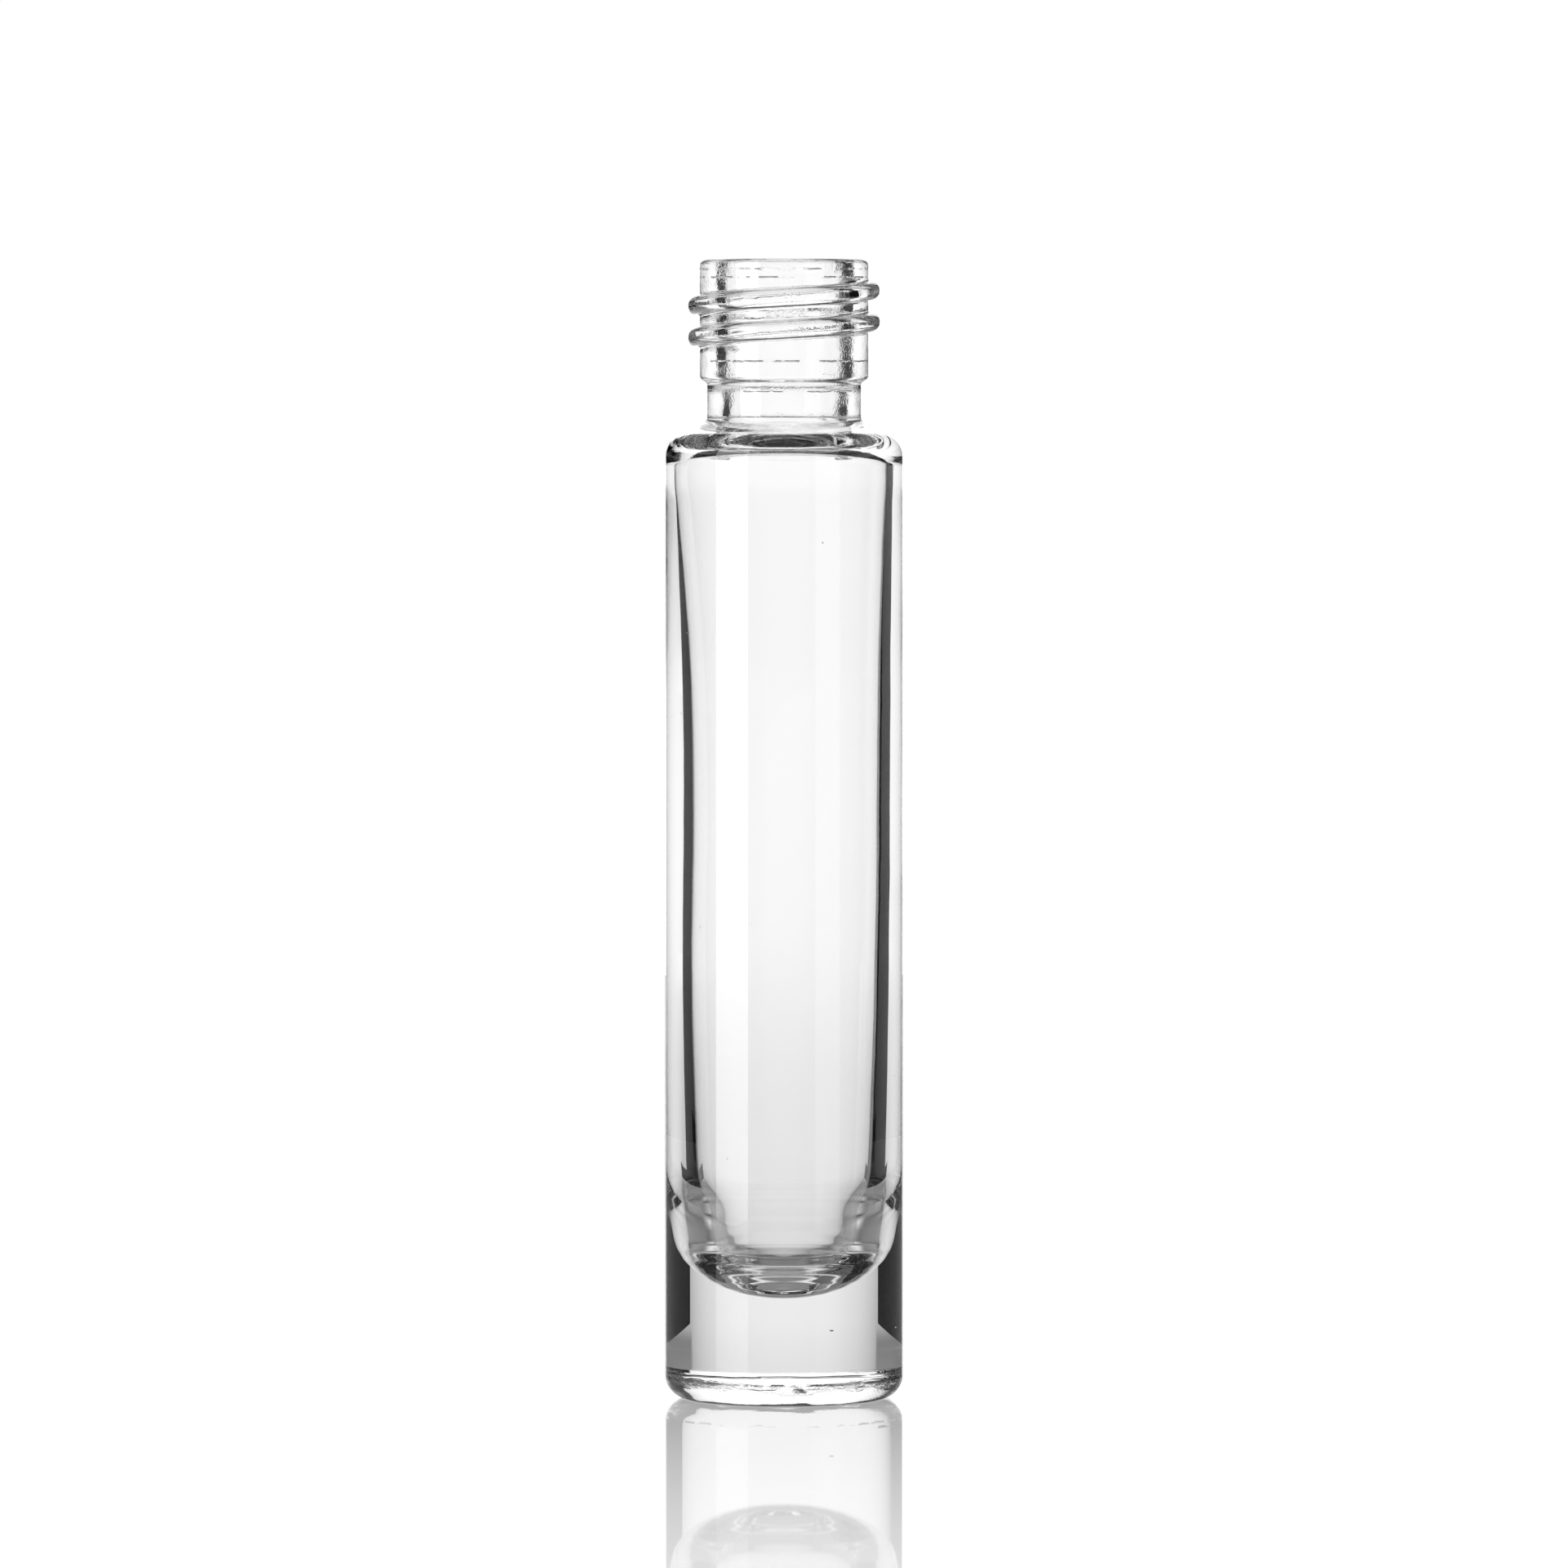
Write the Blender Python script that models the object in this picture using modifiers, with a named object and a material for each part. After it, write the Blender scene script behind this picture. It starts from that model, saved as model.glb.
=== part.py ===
"""Empty clear-glass bottle with a screw-thread neck, moulded in one piece.

Units are metres, +Z is up, and the origin is the middle of the base on the surface that it stands on.
The outline of the glass is turned about Z, and the thread is a round ridge joined to the neck.
"""

import math

import bmesh
import bpy
from mathutils import Vector

# Overall size
HEIGHT = 0.0765
BODY_DIAMETER = 0.0160

# Screw finish, the part of the neck that a closure grips, from the rim down to its lower edge
FINISH_DIAMETER = 0.0114
FINISH_HEIGHT = 0.0080
FINISH_WALL = 0.00175
FINISH_LEDGE_DROP = 0.0003
FINISH_LEDGE_RADIUS = 0.00035
LIP_OUTER_RADIUS = 0.00042
LIP_INNER_RADIUS = 0.0003

# Right-hand thread on the finish. It starts behind the right side and goes down clockwise, seen from above
THREAD_DIAMETER = 0.01295
THREAD_PITCH = 0.002117
THREAD_TURNS = 1.75
THREAD_DROP = 0.0019
THREAD_RIDGE_RADIUS = 0.0006
THREAD_START_ANGLE = math.radians(30)
THREAD_FADE_ANGLE = math.radians(25)
THREAD_SINK = 0.00005
THREAD_END_SHARE = 0.4

# Waist between the finish and the shoulder
WAIST_DIAMETER = 0.0104
WAIST_HEIGHT = 0.0025
WAIST_WALL = 0.00153
WAIST_FILLET = 0.0005
BORE_STEP_HEIGHT = 0.0005
BORE_STEP_RADIUS = 0.0010

# Shoulder, a shallow cone that rounds over into the body
SHOULDER_HEIGHT = 0.00126
SHOULDER_RADIUS = 0.00175
SHOULDER_THICKNESS = 0.0016
CAVITY_SHOULDER_RADIUS = 0.0013
BORE_MOUTH_RADIUS = 0.0010

# Body, whose wall thickens towards its base, over a narrower bowl
WALL_AT_SHOULDER = 0.00095
WALL_AT_FLOOR = 0.00205
WALL_FOOT_RADIUS = 0.0080
FLOOR_THICKNESS = 0.00716
BOWL_DIAMETER = 0.0101
BOWL_DEPTH = 0.0042
BOWL_FLARE_HEIGHT = 0.0045

# Base, a flat ring round a shallow hollow
HEEL_RADIUS = 0.0016
STANDING_RING_WIDTH = 0.0018
PUSH_UP_HEIGHT = 0.0005

# Fineness of the mesh
TURN_STEPS = 48
ARC_STEP = math.radians(18)
BOWL_STEPS = 8
PUSH_UP_STEPS = 4
THREAD_STEPS_PER_TURN = 40
THREAD_BEVEL_RESOLUTION = 3
MERGE_DISTANCE = 0.000001

GLASS_COLOUR = (0.93, 0.95, 0.95, 1.0)
GLASS_ROUGHNESS = 0.02
GLASS_IOR = 1.52


def clear_scene():
    for obj in list(bpy.data.objects):
        bpy.data.objects.remove(obj)


def new_collection(name):
    collection = bpy.data.collections.new(name)
    bpy.context.scene.collection.children.link(collection)
    return collection


def glass_material():
    material = bpy.data.materials.new("clear_flint_glass")
    material.use_nodes = True
    shader = material.node_tree.nodes["Principled BSDF"]
    shader.inputs["Base Color"].default_value = GLASS_COLOUR
    shader.inputs["Roughness"].default_value = GLASS_ROUGHNESS
    shader.inputs["Metallic"].default_value = 0.0
    shader.inputs["IOR"].default_value = GLASS_IOR
    shader.inputs["Transmission Weight"].default_value = 1.0
    return material


def setback(before, corner, after, radius):
    """How far from a corner its fillet begins, along each of its two sides."""
    half_angle = (before - corner).angle(after - corner) / 2
    return radius / math.tan(half_angle)


def arc(before, corner, after, reach):
    """Points of the arc that rounds a corner, from reach before it to reach after it."""
    to_before = (before - corner).normalized()
    to_after = (after - corner).normalized()
    half_angle = to_before.angle(to_after) / 2
    centre = corner + (to_before + to_after).normalized() * (reach / math.cos(half_angle))
    first = corner + to_before * reach - centre
    last = corner + to_after * reach - centre
    sweep = first.angle_signed(last)
    steps = max(1, math.ceil(abs(sweep) / ARC_STEP))
    start = math.atan2(first.y, first.x)
    points = []
    for i in range(steps + 1):
        angle = start - sweep * i / steps
        points.append(centre + Vector((math.cos(angle), math.sin(angle))) * first.length)
    return points


def round_corners(corners):
    """Outline through (radius from the axis, height, fillet) corners, with each fillet drawn as an arc.

    Two fillets that meet on a short side are drawn smaller, so that they never cross.
    """
    places = [Vector((r, z)) for r, z, fillet in corners]
    reaches = [0.0] * len(corners)
    for i in range(1, len(corners) - 1):
        reaches[i] = setback(places[i - 1], places[i], places[i + 1], corners[i][2])
    for i in range(len(corners) - 1):
        length = (places[i + 1] - places[i]).length
        wanted = reaches[i] + reaches[i + 1]
        if wanted > length:
            reaches[i] *= length / wanted
            reaches[i + 1] *= length / wanted
    outline = [places[0]]
    for i in range(1, len(corners) - 1):
        if reaches[i] > MERGE_DISTANCE:
            outline += arc(places[i - 1], places[i], places[i + 1], reaches[i])
        else:
            outline.append(places[i])
    outline.append(places[-1])
    return outline


def bowl():
    """Elliptical bottom of the cavity, from its middle to just below the bowl's rim."""
    points = []
    for i in range(BOWL_STEPS):
        angle = math.pi / 2 * i / BOWL_STEPS
        height = FLOOR_THICKNESS + BOWL_DEPTH * (1 - math.cos(angle))
        points.append(Vector((BOWL_DIAMETER / 2 * math.sin(angle), height)))
    return points


def push_up(rim_radius):
    """Shallow hollow under the base, from the inside of the standing ring to the axis."""
    points = []
    for i in range(1, PUSH_UP_STEPS + 1):
        radius = rim_radius * (1 - i / PUSH_UP_STEPS)
        points.append(Vector((radius, PUSH_UP_HEIGHT * (1 - (radius / rim_radius) ** 2))))
    return points


def glass_outline():
    """Half section of the glass: up the inside from the cavity floor, over the rim and down the outside."""
    body = BODY_DIAMETER / 2
    waist = WAIST_DIAMETER / 2
    finish = FINISH_DIAMETER / 2
    finish_foot = HEIGHT - FINISH_HEIGHT
    waist_foot = finish_foot - FINISH_LEDGE_DROP - WAIST_HEIGHT
    body_top = waist_foot - SHOULDER_HEIGHT
    slope = SHOULDER_HEIGHT / (body - waist)

    waist_bore = waist - WAIST_WALL
    finish_bore = finish - FINISH_WALL
    cavity_low = body - WALL_AT_FLOOR
    cavity_high = body - WALL_AT_SHOULDER
    ceiling_foot = body_top + slope * WALL_AT_SHOULDER - SHOULDER_THICKNESS
    ceiling_top = ceiling_foot + slope * (cavity_high - waist_bore)
    bore_step_foot = finish_foot - FINISH_LEDGE_DROP - BORE_STEP_HEIGHT
    bowl_rim = FLOOR_THICKNESS + BOWL_DEPTH
    ring_inside = body - HEEL_RADIUS - STANDING_RING_WIDTH

    corners = [
        (BOWL_DIAMETER / 2, bowl_rim, 0),
        (cavity_low, bowl_rim + BOWL_FLARE_HEIGHT, WALL_FOOT_RADIUS),
        (cavity_high, ceiling_foot, CAVITY_SHOULDER_RADIUS),
        (waist_bore, ceiling_top, BORE_MOUTH_RADIUS),
        (waist_bore, bore_step_foot, BORE_STEP_RADIUS),
        (finish_bore, bore_step_foot + BORE_STEP_HEIGHT, BORE_STEP_RADIUS),
        (finish_bore, HEIGHT, LIP_INNER_RADIUS),
        (finish, HEIGHT, LIP_OUTER_RADIUS),
        (finish, finish_foot, FINISH_LEDGE_RADIUS),
        (waist, finish_foot - FINISH_LEDGE_DROP, FINISH_LEDGE_RADIUS),
        (waist, waist_foot, WAIST_FILLET),
        (body, body_top, SHOULDER_RADIUS),
        (body, 0, HEEL_RADIUS),
        (ring_inside, 0, 0),
    ]
    return bowl() + round_corners(corners) + push_up(ring_inside)


def turned_glass(collection):
    """The bottle without its thread: the outline turned about Z by a Screw modifier."""
    outline = glass_outline()
    mesh = bpy.data.meshes.new("bottle")
    vertices = [(point.x, 0.0, point.y) for point in outline]
    edges = [(i, i + 1) for i in range(len(outline) - 1)]
    mesh.from_pydata(vertices, edges, [])
    bottle = bpy.data.objects.new("bottle", mesh)
    collection.objects.link(bottle)

    screw = bottle.modifiers.new("turn", "SCREW")
    screw.axis = "Z"
    screw.angle = math.tau
    screw.steps = TURN_STEPS
    screw.render_steps = TURN_STEPS
    screw.use_merge_vertices = True
    screw.merge_threshold = MERGE_DISTANCE
    screw.use_smooth_shade = True
    return bottle


def thread_points():
    """Middle line of the ridge, with the share of its full thickness at each point.

    At both ends the ridge thins out and dips into the wall of the finish.
    """
    crest = THREAD_DIAMETER / 2
    sunk_crest = FINISH_DIAMETER / 2 - THREAD_SINK
    length = math.tau * THREAD_TURNS
    steps = round(THREAD_STEPS_PER_TURN * THREAD_TURNS)
    points = []
    for i in range(steps + 1):
        travelled = length * i / steps
        to_end = min(travelled, length - travelled)
        rise = math.sin(min(1.0, to_end / THREAD_FADE_ANGLE) * math.pi / 2)
        share = THREAD_END_SHARE + (1 - THREAD_END_SHARE) * rise
        radius = sunk_crest + (crest - sunk_crest) * rise - THREAD_RIDGE_RADIUS * share
        angle = THREAD_START_ANGLE - travelled
        height = HEIGHT - THREAD_DROP - THREAD_PITCH * travelled / math.tau
        points.append(((radius * math.cos(angle), radius * math.sin(angle), height), share))
    return points


def thread_ridge(collection):
    """The ridge as a closed mesh, made from a curve with a round section."""
    points = thread_points()
    curve = bpy.data.curves.new("thread_path", "CURVE")
    curve.dimensions = "3D"
    curve.bevel_depth = THREAD_RIDGE_RADIUS
    curve.bevel_resolution = THREAD_BEVEL_RESOLUTION
    curve.use_fill_caps = True
    spline = curve.splines.new("POLY")
    spline.points.add(len(points) - 1)
    for spot, (place, share) in zip(spline.points, points):
        spot.co = (*place, 1.0)
        spot.radius = share
    path = bpy.data.objects.new("thread_path", curve)
    collection.objects.link(path)

    evaluated = path.evaluated_get(bpy.context.evaluated_depsgraph_get())
    mesh = bpy.data.meshes.new_from_object(evaluated)
    weld(mesh)
    ridge = bpy.data.objects.new("thread_ridge", mesh)
    ridge.matrix_world = path.matrix_world
    ridge.hide_render = True
    ridge.display_type = "WIRE"
    collection.objects.link(ridge)
    bpy.data.objects.remove(path)
    return ridge


def weld(mesh):
    """Joins a curve's loose caps to its tube."""
    shape = bmesh.new()
    shape.from_mesh(mesh)
    bmesh.ops.remove_doubles(shape, verts=shape.verts, dist=MERGE_DISTANCE)
    shape.to_mesh(mesh)
    shape.free()
    mesh.shade_smooth()


def main():
    clear_scene()
    parts = new_collection("glass_bottle")
    tools = new_collection("thread_tools")
    bottle = turned_glass(parts)
    bottle.data.materials.append(glass_material())
    join = bottle.modifiers.new("thread", "BOOLEAN")
    join.operation = "UNION"
    join.solver = "EXACT"
    join.object = thread_ridge(tools)


main()
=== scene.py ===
"""Empty clear-glass bottle with a screw-thread neck, photographed on white glossy acrylic.

Units are metres, +Z is up, and the bottle stands at the origin with the camera in front of it, on -Y.
"""
import math

import bmesh
import bpy
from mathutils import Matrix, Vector


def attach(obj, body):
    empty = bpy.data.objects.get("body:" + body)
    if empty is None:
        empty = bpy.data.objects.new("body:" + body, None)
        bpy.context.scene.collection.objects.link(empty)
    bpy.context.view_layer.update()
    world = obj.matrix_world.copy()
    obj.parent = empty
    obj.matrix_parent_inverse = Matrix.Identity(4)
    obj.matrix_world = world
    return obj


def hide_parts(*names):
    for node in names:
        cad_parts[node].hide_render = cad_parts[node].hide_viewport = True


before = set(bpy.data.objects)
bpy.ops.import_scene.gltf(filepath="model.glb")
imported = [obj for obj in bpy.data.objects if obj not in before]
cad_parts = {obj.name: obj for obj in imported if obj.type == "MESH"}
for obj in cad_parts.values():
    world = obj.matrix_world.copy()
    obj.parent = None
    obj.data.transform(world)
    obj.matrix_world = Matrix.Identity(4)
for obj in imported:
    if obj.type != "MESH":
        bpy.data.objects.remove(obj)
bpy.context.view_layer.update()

# Overall size
HEIGHT = 0.0765
BODY_DIAMETER = 0.0160

# Screw finish
FINISH_DIAMETER = 0.0114
FINISH_HEIGHT = 0.0080
FINISH_WALL = 0.00175
FINISH_LEDGE_DROP = 0.0003
FINISH_LEDGE_RADIUS = 0.00035
LIP_OUTER_RADIUS = 0.00042
LIP_INNER_RADIUS = 0.0003

# Right-hand thread. It starts behind the right side and goes down clockwise, seen from above
THREAD_DIAMETER = 0.01295
THREAD_PITCH = 0.002117
THREAD_TURNS = 1.75
THREAD_DROP = 0.0019
THREAD_START_ANGLE = math.radians(30)
THREAD_FADE_ANGLE = math.radians(40)
THREAD_HALF_WIDTH = 0.00060
THREAD_CREST_RADIUS = 0.00052
THREAD_FOOT_RADIUS = 0.00014
THREAD_BAND = 0.00095

# Waist between the finish and the shoulder
WAIST_DIAMETER = 0.0104
WAIST_HEIGHT = 0.0025
WAIST_WALL = 0.00153
WAIST_FILLET = 0.0005
BORE_STEP_HEIGHT = 0.0005
BORE_STEP_RADIUS = 0.0010

# Shoulder, a shallow cone that rounds over into the body. The wall's curve ends below the cavity's corner, by
# a share of that corner's radius
SHOULDER_HEIGHT = 0.00126
SHOULDER_RADIUS = 0.00175
SHOULDER_THICKNESS = 0.0014
CAVITY_SHOULDER_RADIUS = 0.0012
WALL_END_SHARE = 1.1
BORE_MOUTH_RADIUS = 0.0010

# Wall of the body as (height, thickness): it tapers out of the bowl, and is thin below the shoulder
WALL_STATIONS = (
    (0.0116, 0.00289),
    (0.0126, 0.00268),
    (0.0137, 0.00236),
    (0.0148, 0.00217),
    (0.0164, 0.00208),
    (0.0227, 0.00187),
    (0.0282, 0.00176),
    (0.0336, 0.00173),
    (0.0419, 0.00173),
    (0.0473, 0.00165),
    (0.0501, 0.00156),
    (0.0539, 0.00137),
    (0.0572, 0.00118),
    (0.0612, 0.00090),
)

# How far the cavity's middle lies to the right of the bottle's, as (height, distance)
DRIFT_STATIONS = (
    (0.0200, 0.0),
    (0.0300, 0.00002),
    (0.0370, 0.00009),
    (0.0450, 0.00009),
    (0.0530, 0.0),
    (0.0610, -0.00016),
)

# Bowl at the bottom of the cavity
FLOOR_THICKNESS = 0.0069
BOWL_DIAMETER = 0.0101
BOWL_DEPTH = 0.0049
BOWL_FULLNESS = 2.1
BOWL_EDGE_ANGLE = math.radians(80)
BOWL_RING_DEPTH = 0.000020
BOWL_RING_SPACING = 0.00085

# Base, a flat ring round a shallow hollow
HEEL_RADIUS = 0.0016
STANDING_RING_WIDTH = 0.0018
PUSH_UP_HEIGHT = 0.0005

# Refraction of soda-lime glass
GLASS_IOR = 1.52

# Depth of the waves that cooling leaves in each surface, their length from crest to crest, and their noise
MOULDED_RIPPLE = 0.000003
BLOWN_RIPPLE = 0.000010
BORE_RIPPLE = 0.000022
SHOULDER_RIPPLE = 0.000006
BASE_RIPPLE = 0.000014
BROAD_WAVE = 0.0065
FINE_WAVE = 0.0016
BROAD_WAVE_SEED = 3.0
FINE_WAVE_SEED = 11.0
FINE_WAVE_SHARE = 0.3
WAVE_DETAIL = 1.0
NOISE_MIDDLE = 0.5
NOISE_TO_DEPTH = 2.0

# Fine texture where the glass was formed against a tool, drawn as coarse as it needs to show. Each range
# gives the noise values between which a pattern goes from none to full
GRAIN_SIZE = 0.00014
GRAIN_DEPTH = 0.0000252
GRAIN_DETAIL = 2.0
GRAIN_PATCH = 0.00112
GRAIN_PATCH_DETAIL = 1.0
GRAIN_PATCH_RANGE = (0.35, 0.65)
TOOL_RING_HEIGHTS = (0.00132, 0.0678, 0.0698, 0.0754, 0.07595)
TOOL_RING_WIDTH = 0.00007
TOOL_RING_DEPTH = 0.00006
TOOL_RING_GAP = 0.0009
TOOL_RING_DETAIL = 2.0
TOOL_RING_RANGE = (0.48, 0.56)
TOOL_RING_WAVER = 0.00021
SPECK_SPACING = 0.0030
SPECK_RADIUS = 0.00006
SPECK_DEPTH = 0.00006

# Share of the grain and the tool rings on each stretch of the glass
CAVITY_SHOULDER_GRAIN = 0.1
BORE_MOUTH_GRAIN = 0.6
BORE_GRAIN = 1.0
LIP_GRAIN = 0.5
HEEL_GRAIN = 1.0
PUSH_UP_GRAIN = 0.3

# Waves round the heel, and the stipple that the hot base rests on while it cools
HEEL_WAVE = 0.0022
HEEL_WAVE_FLATNESS = 2.5
HEEL_DEPTH = 0.00036
HEEL_DETAIL = 0.5
STIPPLE_HEIGHT = 0.00055
STIPPLE_BAND = 0.00022
STIPPLE_SPACING = 0.00022
STIPPLE_DOT_SHARE = 0.4
STIPPLE_DEPTH = 0.00002
STIPPLE_PATCH = 0.0035
STIPPLE_PATCH_RANGE = (0.52, 0.60)

# Fineness of the mesh
TURN_STEPS = 192
ARC_STEP = math.radians(6)
BOWL_STEPS = 60
PUSH_UP_STEPS = 12
ROW_SPACING = 0.0012
WALL_ROW_SPACING = 0.0006
BEND_ROW_SPACING = 0.0003
THREAD_ROW_SPACING = 0.00006
MERGE_DISTANCE = 0.000001

# Camera: a long lens a little below the bottle's rim, looking slightly down. Lens and sensor are in millimetres
CAMERA_DISTANCE = 0.745
CAMERA_HEIGHT = 0.071
CAMERA_TARGET_HEIGHT = 0.0413
LENS = 255
SENSOR = 36
CLIP_START = 0.05
CLIP_END = 10.0

# Studio. Angles are in degrees, from straight behind the bottle to the right

# Panel behind the bottle, a little brighter than white, to make up for what the glass walls reflect away
PANEL_RADIUS = 0.50
PANEL_HEIGHT = 0.45
PANEL_HALF_ANGLE = 56
PANEL_STRENGTH = 1.155
PANEL_FOOT_STRENGTH = 1.085
PANEL_FOOT_HEIGHT = 0.055
PANEL_SIDE_POWER = 6.0
PANEL_MIRRORED_GAIN = 1.28

# Black cards: two bent ones far out, and two flat ones close beside the bottle, along the view
FAR_FLAG_RADIUS = 0.25
FAR_FLAG_LEFT_ANGLES = (-100, -20)
FAR_FLAG_RIGHT_ANGLES = (18, 100)
FLAG_HEIGHT = 0.25
FLAG_ASIDE = 0.0327
FLAG_FRONT = -0.060
LEFT_FLAG_BACK = 0.0280
RIGHT_FLAG_BACK = 0.0376
FLAG_FOOT_BACK = 0.0467
FLAG_FOOT_HEIGHT = 0.0075
FLAG_STEP_WIDTH = 0.00005

# Glowing sheet of painted light and painted shadow, as (distance from the bottle's axis, strength): painted
# light in the open, dim near the bottle as painted shade, and painted shade in the cards' shadows
SHEET_THICKNESS = 0.00005
PAINTED_OPEN_LIGHT = (
    (0.009, 0.25),
    (0.022, 0.80),
    (0.060, 0.90),
    (0.180, 0.94),
    (0.350, 1.03),
    (0.500, 1.085),
)
PAINTED_CARD_SHADE = (
    (0.0090, 0.25),
    (0.0120, 0.12),
    (0.0140, 0.35),
    (0.0165, 0.10),
    (0.0190, 0.30),
    (0.0220, 0.15),
    (0.0280, 0.25),
    (0.0360, 0.22),
)

# The sheet's painted lit wedge: where it starts behind the axis, how fast it widens, and how soft its
# edges are. It is painted dimmer at its sides, less so further away, and past the cards the whole sheet is
# painted lit
SHEET_SPREAD_START = 0.00955
SHEET_SPREAD = 0.869
SHEET_EDGE = 0.0015
SHEET_SIDE_FALL = 0.58
SHEET_EVEN_REACH = 0.40
SHEET_OPEN = (0.040, 0.056)

# Painted rings of light on the sheet under the base and beside it, standing in for light the glass gathers,
# as (distance, strength). Those beside it give way to the cards' painted shadows between two distances
# behind the axis
PAINTED_BASE_RINGS = (
    (0.0000, 0.25),
    (0.0035, 0.22),
    (0.0042, 0.90),
    (0.0050, 0.12),
    (0.0058, 0.90),
    (0.0065, 0.10),
    (0.0073, 0.80),
    (0.0080, 0.10),
    (0.0090, 0.20),
)
SIDE_LIGHT = (
    (0.0090, 0.20),
    (0.0100, 0.95),
    (0.0115, 0.08),
    (0.0130, 0.95),
    (0.0145, 0.06),
    (0.0165, 0.90),
    (0.0190, 0.05),
    (0.0220, 0.80),
    (0.0250, 0.05),
    (0.0290, 0.30),
    (0.0320, 0.05),
)
SIDE_LIGHT_BACK = (0.004, 0.010)
CARD_STEPS = 48

# Floor: its gloss fades away from the bottle, and so does its share of plain shading
FLOOR_SIZE = 3.0
ACRYLIC_IOR = 1.49
ACRYLIC_ROUGHNESS = 0.02
CONTACT_GLOSS = 1.0
FAR_GLOSS = 0.0
GLOSS_REACH = 0.20
CONTACT_WHITE = 0.75
SHADOW_REACH = 0.060

# Light of the room on the glass and on the floor
ROOM_STRENGTH = 0.035
SOFT_LIGHT_STRENGTH = 0.7

# Lamps, as (name, angle, distance, width, height, height of the middle, power)
SOFTBOXES = (
    ("front_left_softbox", -129, 0.16, 0.096, 0.30, 0.10, 0.29),
    ("front_right_softbox", 138, 0.16, 0.070, 0.30, 0.10, 0.055),
)

# Enough for light to pass the thread and both walls
MAX_BOUNCES = 32
GLOSSY_BOUNCES = 24


def to_linear(hex_colour):
    """Linear RGBA of an sRGB colour written as #RRGGBB."""
    channels = []
    for i in (1, 3, 5):
        value = int(hex_colour[i:i + 2], 16) / 255
        channels.append(value / 12.92 if value <= 0.04045 else ((value + 0.055) / 1.055) ** 2.4)
    return (*channels, 1.0)


def add_node(tree, kind, settings, sources):
    """Adds a node with its settings. Each of its inputs takes another node's output or a plain value."""
    node = tree.nodes.new(kind)
    for name, value in settings.items():
        setattr(node, name, value)
    for name, source in sources.items():
        if isinstance(source, bpy.types.NodeSocket):
            tree.links.new(source, node.inputs[name])
        else:
            node.inputs[name].default_value = source
    return node


def new_object(name, data):
    """Object that shows the data in the scene."""
    obj = bpy.data.objects.new(name, data)
    bpy.context.scene.collection.objects.link(obj)
    return obj


def bare_material(name):
    """Material with an empty node tree."""
    material = bpy.data.materials.new(name)
    material.use_nodes = True
    material.node_tree.nodes.clear()
    return material


def setback(before, corner, after, radius):
    """How far from a corner its fillet begins, along each of its two sides."""
    half_angle = (before - corner).angle(after - corner) / 2
    return radius / math.tan(half_angle)


def arc(before, corner, after, reach):
    """Points of the arc that rounds a corner, from reach before it to reach after it."""
    to_before = (before - corner).normalized()
    to_after = (after - corner).normalized()
    half_angle = to_before.angle(to_after) / 2
    centre = corner + (to_before + to_after).normalized() * (reach / math.cos(half_angle))
    first = corner + to_before * reach - centre
    last = corner + to_after * reach - centre
    sweep = first.angle_signed(last)
    steps = max(1, math.ceil(abs(sweep) / ARC_STEP))
    start = math.atan2(first.y, first.x)
    points = []
    for i in range(steps + 1):
        angle = start - sweep * i / steps
        points.append(centre + Vector((math.cos(angle), math.sin(angle))) * first.length)
    return points


def round_corners(corners):
    """Outline through (across, up, fillet) corners, with each fillet drawn as an arc.

    Two fillets that meet on a short side are drawn smaller, so that they never cross.
    """
    places = [Vector(corner[:2]) for corner in corners]
    reaches = [0.0] * len(corners)
    for i in range(1, len(corners) - 1):
        reaches[i] = setback(places[i - 1], places[i], places[i + 1], corners[i][2])
    for i in range(len(corners) - 1):
        length = (places[i + 1] - places[i]).length
        wanted = reaches[i] + reaches[i + 1]
        if wanted > length:
            reaches[i] *= length / wanted
            reaches[i + 1] *= length / wanted
    outline = [places[0]]
    for i in range(1, len(corners) - 1):
        if reaches[i] > MERGE_DISTANCE:
            outline += arc(places[i - 1], places[i], places[i + 1], reaches[i])
        else:
            outline.append(places[i])
    outline.append(places[-1])
    return outline


def fill_rows(points, spacing):
    """Adds points to the long straight stretches of an outline."""
    filled = [points[0]]
    for before, after in zip(points, points[1:]):
        steps = max(1, math.ceil((after - before).length / spacing))
        for i in range(1, steps + 1):
            filled.append(before.lerp(after, i / steps))
    return filled


def smooth_between(stations, height):
    """Value at a height on a smooth curve through (height, value) stations."""
    if height <= stations[0][0]:
        return stations[0][1]
    if height >= stations[-1][0]:
        return stations[-1][1]
    i = max(k for k in range(len(stations) - 1) if stations[k][0] <= height)
    slopes = []
    for k in (i, i + 1):
        before, after = stations[max(k - 1, 0)], stations[min(k + 1, len(stations) - 1)]
        slopes.append((after[1] - before[1]) / (after[0] - before[0]))
    (low, first), (high, last) = stations[i], stations[i + 1]
    span = high - low
    u = (height - low) / span
    return (
        first * (1 + 2 * u) * (1 - u) ** 2
        + last * u * u * (3 - 2 * u)
        + span * (slopes[0] * u * (1 - u) ** 2 - slopes[1] * u * u * (1 - u))
    )


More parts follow.
